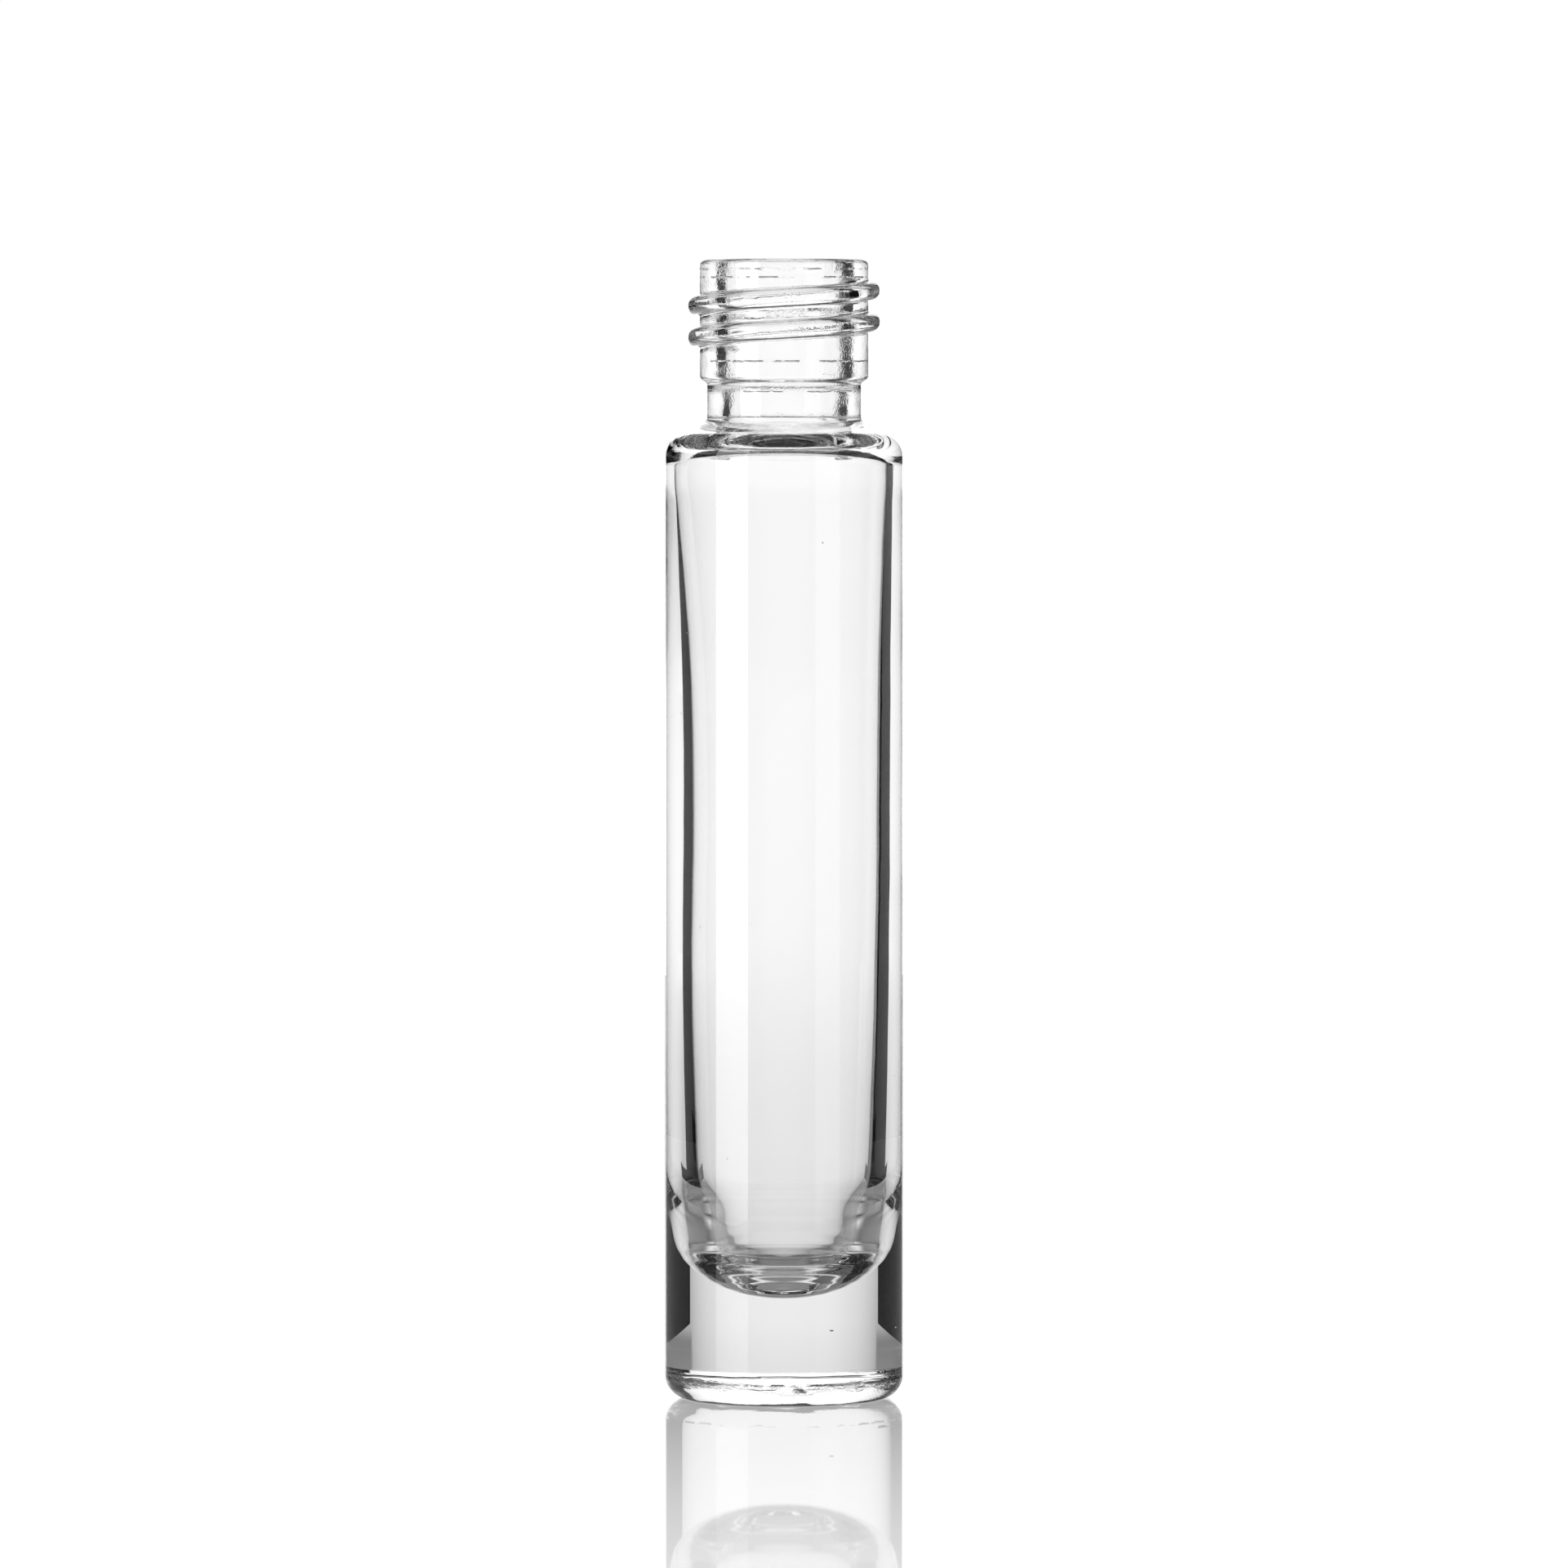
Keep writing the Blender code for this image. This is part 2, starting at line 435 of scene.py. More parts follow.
def bowl():
    """Bottom of the cavity, a little fuller than an ellipse, from its middle up to where the wall leaves it.

    Its rim has faint rings, left as the glass settled.
    """
    radius = BOWL_DIAMETER / 2
    points = []
    for i in range(BOWL_STEPS + 1):
        angle = BOWL_EDGE_ANGLE * i / BOWL_STEPS
        out = math.sin(angle) ** (2 / BOWL_FULLNESS)
        down = math.cos(angle) ** (2 / BOWL_FULLNESS)
        steepness = BOWL_FULLNESS - 1
        outward = Vector((out ** steepness / radius, -down ** steepness / BOWL_DEPTH)).normalized()
        fade = math.sin(math.pi * i / BOWL_STEPS) * i / BOWL_STEPS
        ring = BOWL_RING_DEPTH * math.sin(math.tau * radius * angle / BOWL_RING_SPACING) * fade
        points.append(Vector((radius * out, FLOOR_THICKNESS + BOWL_DEPTH * (1 - down))) + outward * ring)
    return points


def body_wall(top):
    """Inside of the body's wall, up from its lowest station."""
    body = BODY_DIAMETER / 2
    foot = WALL_STATIONS[0][0]
    steps = math.ceil((top - foot) / WALL_ROW_SPACING)
    points = []
    for i in range(steps + 1):
        height = foot + (top - foot) * i / steps
        points.append(Vector((body - smooth_between(WALL_STATIONS, height), height)))
    return points


def push_up(rim_radius):
    """Shallow hollow under the base, from the inside of the standing ring to the axis."""
    points = []
    for i in range(1, PUSH_UP_STEPS + 1):
        radius = rim_radius * (1 - i / PUSH_UP_STEPS)
        points.append(Vector((radius, PUSH_UP_HEIGHT * (1 - (radius / rim_radius) ** 2))))
    return points


def glass_outline():
    """Half section of the glass as stretches of (points, ripple, grain, in the cavity, threaded).

    They go up the inside from the cavity floor, over the rim and down the outside.
    """
    body = BODY_DIAMETER / 2
    waist = WAIST_DIAMETER / 2
    finish = FINISH_DIAMETER / 2
    finish_foot = HEIGHT - FINISH_HEIGHT
    waist_foot = finish_foot - FINISH_LEDGE_DROP - WAIST_HEIGHT
    body_top = waist_foot - SHOULDER_HEIGHT
    slope = SHOULDER_HEIGHT / (body - waist)

    waist_bore = waist - WAIST_WALL
    finish_bore = finish - FINISH_WALL
    cavity_high = body - WALL_STATIONS[-1][1]
    ceiling_foot = body_top + slope * WALL_STATIONS[-1][1] - SHOULDER_THICKNESS
    ceiling_top = ceiling_foot + slope * (cavity_high - waist_bore)
    wall_top = ceiling_foot - CAVITY_SHOULDER_RADIUS * WALL_END_SHARE
    bore_middle = (ceiling_top + finish_foot - BORE_STEP_HEIGHT) / 2
    bore_step_foot = finish_foot - FINISH_LEDGE_DROP - BORE_STEP_HEIGHT
    ring_inside = body - HEEL_RADIUS - STANDING_RING_WIDTH

    wall = body_wall(wall_top)
    ceiling_middle = ((cavity_high + waist_bore) / 2, (ceiling_foot + ceiling_top) / 2, 0)
    cavity_corner = round_corners([
        (wall[-1].x, wall[-1].y, 0),
        (cavity_high, ceiling_foot, CAVITY_SHOULDER_RADIUS),
        ceiling_middle,
    ])
    bore_mouth = round_corners([
        ceiling_middle,
        (waist_bore, ceiling_top, BORE_MOUTH_RADIUS),
        (waist_bore, bore_middle, 0),
    ])
    bore = round_corners([
        (waist_bore, bore_middle, 0),
        (waist_bore, bore_step_foot, BORE_STEP_RADIUS),
        (finish_bore, bore_step_foot + BORE_STEP_HEIGHT, BORE_STEP_RADIUS),
        (finish_bore, HEIGHT - LIP_INNER_RADIUS, 0),
    ])
    lip = round_corners([
        (finish_bore, HEIGHT - LIP_INNER_RADIUS, 0),
        (finish_bore, HEIGHT, LIP_INNER_RADIUS),
        (finish, HEIGHT, LIP_OUTER_RADIUS),
        (finish, HEIGHT - LIP_OUTER_RADIUS, 0),
    ])
    thread_top = HEIGHT - THREAD_DROP + THREAD_BAND
    thread_foot = HEIGHT - THREAD_DROP - THREAD_PITCH * THREAD_TURNS - THREAD_BAND
    threaded = [Vector((finish, thread_top)), Vector((finish, thread_foot))]
    outside = round_corners([
        (finish, thread_foot, 0),
        (finish, finish_foot, FINISH_LEDGE_RADIUS),
        (waist, finish_foot - FINISH_LEDGE_DROP, FINISH_LEDGE_RADIUS),
        (waist, waist_foot, WAIST_FILLET),
        (body, body_top, SHOULDER_RADIUS),
        (body, HEEL_RADIUS, 0),
    ])
    heel = round_corners([
        (body, HEEL_RADIUS, 0),
        (body, 0, HEEL_RADIUS),
        (ring_inside, 0, 0),
    ])
    return [
        (bowl(), BLOWN_RIPPLE, 0.0, True, False),
        (wall, BLOWN_RIPPLE, 0.0, True, False),
        (fill_rows(cavity_corner, BEND_ROW_SPACING), BLOWN_RIPPLE, CAVITY_SHOULDER_GRAIN, True, False),
        (fill_rows(bore_mouth, BEND_ROW_SPACING), SHOULDER_RIPPLE, BORE_MOUTH_GRAIN, False, False),
        (fill_rows(bore, BEND_ROW_SPACING), BORE_RIPPLE, BORE_GRAIN, False, False),
        (lip, MOULDED_RIPPLE, LIP_GRAIN, False, False),
        (fill_rows(threaded, THREAD_ROW_SPACING), MOULDED_RIPPLE, 0.0, False, True),
        (fill_rows(outside, ROW_SPACING), MOULDED_RIPPLE, 0.0, False, False),
        (heel, BASE_RIPPLE, HEEL_GRAIN, False, False),
        (push_up(ring_inside), BASE_RIPPLE, PUSH_UP_GRAIN, False, False),
    ]


def outline_object():
    """The half section as a line of vertices, which carry what the node tree and the material need."""
    vertices, ripples, grains, drifts, threads = [], [], [], [], []
    for points, ripple, grain, in_cavity, threaded in glass_outline():
        for point in points:
            place = Vector((point.x, 0.0, point.y))
            if vertices and (place - vertices[-1]).length < MERGE_DISTANCE:
                continue
            vertices.append(place)
            ripples.append(ripple)
            grains.append(grain)
            drifts.append(smooth_between(DRIFT_STATIONS, point.y) if in_cavity else 0.0)
            threads.append(threaded)
    mesh = bpy.data.meshes.new("glass_outline")
    mesh.from_pydata(vertices, [(i, i + 1) for i in range(len(vertices) - 1)], [])
    for name, kind, values in (
        ("ripple", "FLOAT", ripples),
        ("grain", "FLOAT", grains),
        ("drift", "FLOAT", drifts),
        ("threaded", "BOOLEAN", threads),
    ):
        mesh.attributes.new(name, kind, "POINT").data.foreach_set("value", values)
    return new_object("glass_outline", mesh)


def thread_section():
    """Outline of the ridge, as (out from the wall, up), from one edge of its band to the other."""
    crest = (THREAD_DIAMETER - FINISH_DIAMETER) / 2
    half = THREAD_HALF_WIDTH
    points = round_corners([
        (0, -THREAD_BAND, 0),
        (0, -half, THREAD_FOOT_RADIUS),
        (crest, -half, THREAD_CREST_RADIUS),
        (crest, half, THREAD_CREST_RADIUS),
        (0, half, THREAD_FOOT_RADIUS),
        (0, THREAD_BAND, 0),
    ])
    mesh = bpy.data.meshes.new("thread_section")
    mesh.from_pydata([(p.x, p.y, 0.0) for p in points], [(i, i + 1) for i in range(len(points) - 1)], [])
    return new_object("thread_section", mesh)


def glass_tree():
    """Geometry Nodes that raise the thread on the turned glass, shift its cavity and ripple its surfaces."""
    tree = bpy.data.node_groups.new("thread_and_ripple", "GeometryNodeTree")
    for name, kind in (
        ("Geometry", "NodeSocketGeometry"),
        ("Thread Section", "NodeSocketObject"),
        ("Thread Top", "NodeSocketFloat"),
        ("Pitch", "NodeSocketFloat"),
        ("Turns", "NodeSocketFloat"),
        ("Start Angle", "NodeSocketFloat"),
        ("Fade Turns", "NodeSocketFloat"),
        ("Band", "NodeSocketFloat"),
        ("Broad Wave", "NodeSocketFloat"),
        ("Fine Wave", "NodeSocketFloat"),
        ("Material", "NodeSocketMaterial"),
    ):
        tree.interface.new_socket(name, in_out="INPUT", socket_type=kind)
    tree.interface.new_socket("Geometry", in_out="OUTPUT", socket_type="NodeSocketGeometry")
    given = add_node(tree, "NodeGroupInput", {}, {}).outputs
    math_node, vector_node = "ShaderNodeMath", "ShaderNodeVectorMath"

    # Where a point lies: its angle round the bottle and how far below the thread's start, in turns
    place = add_node(tree, "GeometryNodeInputPosition", {}, {}).outputs[0]
    parts = add_node(tree, "ShaderNodeSeparateXYZ", {}, {0: place}).outputs
    angle = add_node(tree, math_node, {"operation": "ARCTAN2"}, {0: parts[1], 1: parts[0]}).outputs[0]
    behind = add_node(
        tree, math_node, {"operation": "SUBTRACT"}, {0: given["Start Angle"], 1: angle}
    ).outputs[0]
    turned = add_node(tree, math_node, {"operation": "DIVIDE"}, {0: behind, 1: math.tau}).outputs[0]
    part_turn = add_node(tree, math_node, {"operation": "FLOORED_MODULO"}, {0: turned, 1: 1.0}).outputs[0]
    below = add_node(
        tree, math_node, {"operation": "SUBTRACT"}, {0: given["Thread Top"], 1: parts[2]}
    ).outputs[0]
    turns_down = add_node(tree, math_node, {"operation": "DIVIDE"}, {0: below, 1: given["Pitch"]}).outputs[0]

    # The nearest turn of the ridge: how far along it, and how far above its middle line
    apart = add_node(tree, math_node, {"operation": "SUBTRACT"}, {0: turns_down, 1: part_turn}).outputs[0]
    whole = add_node(tree, math_node, {"operation": "ROUND"}, {0: apart}).outputs[0]
    along = add_node(tree, math_node, {"operation": "ADD"}, {0: part_turn, 1: whole}).outputs[0]
    off_line = add_node(tree, math_node, {"operation": "SUBTRACT"}, {0: along, 1: turns_down}).outputs[0]
    above = add_node(tree, math_node, {"operation": "MULTIPLY"}, {0: off_line, 1: given["Pitch"]}).outputs[0]

    # The ridge rises and fades over its first and last stretch
    left = add_node(tree, math_node, {"operation": "SUBTRACT"}, {0: given["Turns"], 1: along}).outputs[0]
    to_end = add_node(tree, math_node, {"operation": "MINIMUM"}, {0: along, 1: left}).outputs[0]
    rise = add_node(
        tree, "ShaderNodeMapRange", {"interpolation_type": "SMOOTHSTEP"},
        {"Value": to_end, "From Max": given["Fade Turns"]},
    ).outputs["Result"]

    # The rows of the band are spread along the section's curve
    info = add_node(tree, "GeometryNodeObjectInfo", {}, {"Object": given["Thread Section"]})
    curve = add_node(tree, "GeometryNodeMeshToCurve", {}, {"Mesh": info.outputs["Geometry"]}).outputs[0]
    low_edge = add_node(tree, math_node, {"operation": "MULTIPLY"}, {0: given["Band"], 1: -1.0}).outputs[0]
    factor = add_node(
        tree, "ShaderNodeMapRange", {},
        {"Value": above, "From Min": low_edge, "From Max": given["Band"]},
    ).outputs["Result"]
    sample = add_node(
        tree, "GeometryNodeSampleCurve", {"mode": "FACTOR"}, {"Curves": curve, "Factor": factor}
    )
    section = add_node(tree, "ShaderNodeSeparateXYZ", {}, {0: sample.outputs["Position"]}).outputs
    out = add_node(tree, math_node, {"operation": "MULTIPLY"}, {0: section[0], 1: rise}).outputs[0]
    climb = add_node(tree, math_node, {"operation": "SUBTRACT"}, {0: section[1], 1: above}).outputs[0]
    up = add_node(tree, math_node, {"operation": "MULTIPLY"}, {0: climb, 1: rise}).outputs[0]
    level = add_node(tree, vector_node, {"operation": "MULTIPLY"}, {0: place, 1: (1.0, 1.0, 0.0)}).outputs[0]
    outward = add_node(tree, vector_node, {"operation": "NORMALIZE"}, {0: level}).outputs[0]
    sideways = add_node(tree, vector_node, {"operation": "SCALE"}, {0: outward, "Scale": out}).outputs[0]
    upward = add_node(tree, "ShaderNodeCombineXYZ", {}, {"Z": up}).outputs[0]
    lift = add_node(tree, vector_node, {"operation": "ADD"}, {0: sideways, 1: upward}).outputs[0]
    threaded = add_node(
        tree, "GeometryNodeInputNamedAttribute", {"data_type": "BOOLEAN"}, {"Name": "threaded"}
    ).outputs[0]
    size = add_node(tree, math_node, {"operation": "ABSOLUTE"}, {0: above}).outputs[0]
    near = add_node(tree, math_node, {"operation": "LESS_THAN"}, {0: size, 1: given["Band"]}).outputs[0]
    chosen = add_node(
        tree, "FunctionNodeBooleanMath", {"operation": "AND"}, {0: threaded, 1: near}
    ).outputs[0]
    raised = add_node(
        tree, "GeometryNodeSetPosition", {},
        {"Geometry": given["Geometry"], "Selection": chosen, "Offset": lift},
    ).outputs[0]

    # The cavity was blown a little off the middle
    drift = add_node(
        tree, "GeometryNodeInputNamedAttribute", {"data_type": "FLOAT"}, {"Name": "drift"}
    ).outputs[0]
    aside = add_node(tree, "ShaderNodeCombineXYZ", {}, {"X": drift}).outputs[0]
    shifted = add_node(tree, "GeometryNodeSetPosition", {}, {"Geometry": raised, "Offset": aside}).outputs[0]

    # Two sizes of wave, along the surface's own normal
    waves = []
    for wave, seed in ((given["Broad Wave"], BROAD_WAVE_SEED), (given["Fine Wave"], FINE_WAVE_SEED)):
        per_metre = add_node(tree, math_node, {"operation": "DIVIDE"}, {0: 1.0, 1: wave}).outputs[0]
        noise = add_node(
            tree, "ShaderNodeTexNoise", {"noise_dimensions": "4D"},
            {"Vector": place, "W": seed, "Scale": per_metre, "Detail": WAVE_DETAIL},
        ).outputs[0]
        swing = add_node(tree, math_node, {"operation": "SUBTRACT"}, {0: noise, 1: NOISE_MIDDLE}).outputs[0]
        waves.append(swing)
    fine = add_node(tree, math_node, {"operation": "MULTIPLY"}, {0: waves[1], 1: FINE_WAVE_SHARE}).outputs[0]
    both = add_node(tree, math_node, {"operation": "ADD"}, {0: waves[0], 1: fine}).outputs[0]
    ripple = add_node(
        tree, "GeometryNodeInputNamedAttribute", {"data_type": "FLOAT"}, {"Name": "ripple"}
    ).outputs[0]
    share = add_node(tree, math_node, {"operation": "MULTIPLY"}, {0: both, 1: ripple}).outputs[0]
    depth = add_node(tree, math_node, {"operation": "MULTIPLY"}, {0: share, 1: NOISE_TO_DEPTH}).outputs[0]
    normal = add_node(tree, "GeometryNodeInputNormal", {}, {}).outputs[0]
    wave_offset = add_node(tree, vector_node, {"operation": "SCALE"}, {0: normal, "Scale": depth}).outputs[0]
    rippled = add_node(
        tree, "GeometryNodeSetPosition", {}, {"Geometry": shifted, "Offset": wave_offset}
    ).outputs[0]

    smooth = add_node(tree, "GeometryNodeSetShadeSmooth", {}, {"Geometry": rippled}).outputs[0]
    realized = add_node(tree, "GeometryNodeRealizeInstances", {}, {"Geometry": smooth}).outputs[0]
    finished = add_node(
        tree, "GeometryNodeSetMaterial", {}, {"Geometry": realized, "Material": given["Material"]}
    ).outputs[0]
    add_node(tree, "NodeGroupOutput", {}, {0: finished})
    return tree


def clear_flint_glass():
    """Soda-lime flint glass, blown and moulded: colourless, fully clear and glossy as it cools.

    Where a tool formed it, inside the neck, it keeps a fine grain and broken rings, which speckle the dark
    edges seen there. Where it first touched the cold mould, round the heel, it has slow waves that break up
    the bright ring there, and patches of the mould's stipple. Elsewhere it shows only a rare speck.
    """
    material = bpy.data.materials.new("clear_flint_glass_moulded")
    material.use_nodes = True
    tree = material.node_tree
    shader = tree.nodes["Principled BSDF"]
    math_node, map_node = "ShaderNodeMath", "ShaderNodeMapRange"
    place = add_node(tree, "ShaderNodeTexCoord", {}, {}).outputs["Object"]
    parts = add_node(tree, "ShaderNodeSeparateXYZ", {}, {0: place}).outputs
    grain_share = add_node(tree, "ShaderNodeAttribute", {"attribute_name": "grain"}, {}).outputs["Fac"]

    # Grain
    grain = add_node(
        tree, "ShaderNodeTexNoise", {}, {"Vector": place, "Scale": 1 / GRAIN_SIZE, "Detail": GRAIN_DETAIL}
    ).outputs[0]
    patch = add_node(
        tree, "ShaderNodeTexNoise", {},
        {"Vector": place, "Scale": 1 / GRAIN_PATCH, "Detail": GRAIN_PATCH_DETAIL},
    ).outputs[0]
    patchy = add_node(
        tree, map_node, {},
        {"Value": patch, "From Min": GRAIN_PATCH_RANGE[0], "From Max": GRAIN_PATCH_RANGE[1]},
    ).outputs[0]
    grain_here = add_node(tree, math_node, {"operation": "MULTIPLY"}, {0: grain_share, 1: patchy}).outputs[0]
    grain_depth = add_node(
        tree, math_node, {"operation": "MULTIPLY"}, {0: grain_here, 1: GRAIN_DEPTH}
    ).outputs[0]
    height = add_node(tree, math_node, {"operation": "MULTIPLY"}, {0: grain, 1: grain_depth}).outputs[0]

    # Rings round the bore, broken into dashes
    dash = add_node(
        tree, "ShaderNodeTexNoise", {},
        {"Vector": place, "Scale": 1 / TOOL_RING_GAP, "Detail": TOOL_RING_DETAIL},
    ).outputs[0]
    dashes = add_node(
        tree, map_node, {},
        {"Value": dash, "From Min": TOOL_RING_RANGE[0], "From Max": TOOL_RING_RANGE[1]},
    ).outputs[0]
    dashes_here = add_node(tree, math_node, {"operation": "MULTIPLY"}, {0: dashes, 1: grain_share}).outputs[0]
    waver = add_node(
        tree, math_node, {"operation": "MULTIPLY_ADD"}, {0: dash, 1: TOOL_RING_WAVER, 2: parts[2]}
    ).outputs[0]
    for ring_height in TOOL_RING_HEIGHTS:
        off = add_node(tree, math_node, {"operation": "SUBTRACT"}, {0: waver, 1: ring_height}).outputs[0]
        away = add_node(tree, math_node, {"operation": "ABSOLUTE"}, {0: off}).outputs[0]
        ring = add_node(
            tree, map_node, {"interpolation_type": "SMOOTHSTEP"},
            {"Value": away, "From Max": TOOL_RING_WIDTH, "To Min": TOOL_RING_DEPTH, "To Max": 0.0},
        ).outputs[0]
        height = add_node(
            tree, math_node, {"operation": "MULTIPLY_ADD"}, {0: ring, 1: dashes_here, 2: height}
        ).outputs[0]

    # Waves round the heel, where the hot glass first touched the mould
    flat = add_node(
        tree, "ShaderNodeVectorMath", {"operation": "MULTIPLY"}, {0: place, 1: (1.0, 1.0, HEEL_WAVE_FLATNESS)}
    ).outputs[0]
    wave = add_node(
        tree, "ShaderNodeTexNoise", {}, {"Vector": flat, "Scale": 1 / HEEL_WAVE, "Detail": HEEL_DETAIL}
    ).outputs[0]
    heel_depth = add_node(
        tree, map_node, {"interpolation_type": "SMOOTHSTEP"},
        {"Value": parts[2], "From Max": HEEL_RADIUS, "To Min": HEEL_DEPTH, "To Max": 0.0},
    ).outputs[0]
    height = add_node(
        tree, math_node, {"operation": "MULTIPLY_ADD"}, {0: wave, 1: heel_depth, 2: height}
    ).outputs[0]

    # A speck wherever the surface passes close to a cell's point, which is seldom
    cells = add_node(
        tree, "ShaderNodeTexVoronoi", {}, {"Vector": place, "Scale": 1 / SPECK_SPACING}
    ).outputs
    speck = add_node(
        tree, map_node, {"interpolation_type": "SMOOTHSTEP"},
        {
            "Value": cells["Distance"], "From Max": SPECK_RADIUS / SPECK_SPACING,
            "To Min": -SPECK_DEPTH, "To Max": 0.0,
        },
    ).outputs[0]
    height = add_node(tree, math_node, {"operation": "ADD"}, {0: speck, 1: height}).outputs[0]

    # Stipple round the heel, in patches
    dots = add_node(tree, "ShaderNodeTexVoronoi", {}, {"Vector": place, "Scale": 1 / STIPPLE_SPACING}).outputs
    dot = add_node(
        tree, map_node, {"interpolation_type": "SMOOTHSTEP"},
        {"Value": dots["Distance"], "From Max": STIPPLE_DOT_SHARE, "To Min": STIPPLE_DEPTH, "To Max": 0.0},
    ).outputs[0]
    off_band = add_node(
        tree, math_node, {"operation": "SUBTRACT"}, {0: parts[2], 1: STIPPLE_HEIGHT}
    ).outputs[0]
    off_size = add_node(tree, math_node, {"operation": "ABSOLUTE"}, {0: off_band}).outputs[0]
    in_band = add_node(tree, math_node, {"operation": "LESS_THAN"}, {0: off_size, 1: STIPPLE_BAND}).outputs[0]
    patch = add_node(
        tree, "ShaderNodeTexNoise", {}, {"Vector": place, "Scale": 1 / STIPPLE_PATCH, "Detail": 0.0}
    ).outputs[0]
    patches = add_node(
        tree, map_node, {},
        {"Value": patch, "From Min": STIPPLE_PATCH_RANGE[0], "From Max": STIPPLE_PATCH_RANGE[1]},
    ).outputs[0]
    here = add_node(tree, math_node, {"operation": "MULTIPLY"}, {0: in_band, 1: patches}).outputs[0]
    height = add_node(tree, math_node, {"operation": "MULTIPLY_ADD"}, {0: dot, 1: here, 2: height}).outputs[0]

    bump = add_node(
        tree, "ShaderNodeBump", {}, {"Height": height, "Strength": 1.0, "Distance": 1.0}
    ).outputs[0]
    tree.links.new(bump, shader.inputs["Normal"])
    shader.inputs["Base Color"].default_value = to_linear("#FEFEFE")
    shader.inputs["Metallic"].default_value = 0.0
    shader.inputs["IOR"].default_value = GLASS_IOR
    shader.inputs["Transmission Weight"].default_value = 1.0
    shader.inputs["Roughness"].default_value = 0.0
    return material


def blown_bottle():
    """The bottle's glass: its outline turned by a Screw modifier, then finished by the node tree."""
    bottle = outline_object()
    section = thread_section()
    turn = bottle.modifiers.new("turn", "SCREW")
    turn.axis = "Z"
    turn.angle = math.tau
    turn.steps = TURN_STEPS
    turn.render_steps = TURN_STEPS
    turn.use_merge_vertices = True
    turn.merge_threshold = MERGE_DISTANCE

    tree = glass_tree()
    finish = bottle.modifiers.new("thread_and_ripple", "NODES")
    finish.node_group = tree
    values = {
        "Thread Section": section,
        "Thread Top": HEIGHT - THREAD_DROP,
        "Pitch": THREAD_PITCH,
        "Turns": THREAD_TURNS,
        "Start Angle": THREAD_START_ANGLE,
        "Fade Turns": THREAD_FADE_ANGLE / math.tau,
        "Band": THREAD_BAND,
        "Broad Wave": BROAD_WAVE,
        "Fine Wave": FINE_WAVE,
        "Material": clear_flint_glass(),
    }
    for item in tree.interface.items_tree:
        if item.in_out == "INPUT" and item.name in values:
            finish[item.identifier] = values[item.name]

    evaluated = bottle.evaluated_get(bpy.context.evaluated_depsgraph_get())
    mesh = bpy.data.meshes.new_from_object(evaluated)
    mesh.name = "blown_glass"
    for obj in (bottle, section):
        bpy.data.objects.remove(obj)
    return new_object("blown_glass", mesh)


def card_object(name, columns, material):
    """Upright card through columns of (x, y, height), on the floor."""
    shape = bmesh.new()
    edges = []
    for x, y, height in columns:
        edges.append((shape.verts.new((x, y, 0.0)), shape.verts.new((x, y, height))))
    for (low, high), (next_low, next_high) in zip(edges, edges[1:]):
        shape.faces.new((low, high, next_high, next_low))
    mesh = bpy.data.meshes.new(name)
    shape.to_mesh(mesh)
    shape.free()
    mesh.materials.append(material)
    return new_object(name, mesh)


def curved_card(name, radius, angles, height, material):
    """Card bent round the bottle, between two angles from straight behind it."""
    first, last = (math.radians(angle) for angle in angles)
    columns = []
    for i in range(CARD_STEPS + 1):
        angle = first + (last - first) * i / CARD_STEPS
        columns.append((radius * math.sin(angle), radius * math.cos(angle), height))
    return card_object(name, columns, material)


def side_flag(name, side, back, material):
    """Flat card beside the bottle, along the view, with a low foot that reaches further back."""
    x = side * FLAG_ASIDE
    columns = [
        (x, FLAG_FRONT, FLAG_HEIGHT),
        (x, back, FLAG_HEIGHT),
        (x, back + FLAG_STEP_WIDTH, FLAG_FOOT_HEIGHT),
        (x, FLAG_FOOT_BACK, FLAG_FOOT_HEIGHT),
    ]
    return card_object(name, columns, material)


def glowing(name, strength_of):
    """Material that gives out white light, as strong as strength_of makes it at each place."""
    material = bare_material(name)
    tree = material.node_tree
    place = add_node(tree, "ShaderNodeTexCoord", {}, {}).outputs["Object"]
    glow = add_node(
        tree, "ShaderNodeEmission", {}, {"Color": to_linear("#FFFFFF"), "Strength": strength_of(tree, place)}
    ).outputs[0]
    add_node(tree, "ShaderNodeOutputMaterial", {}, {"Surface": glow})
    return material


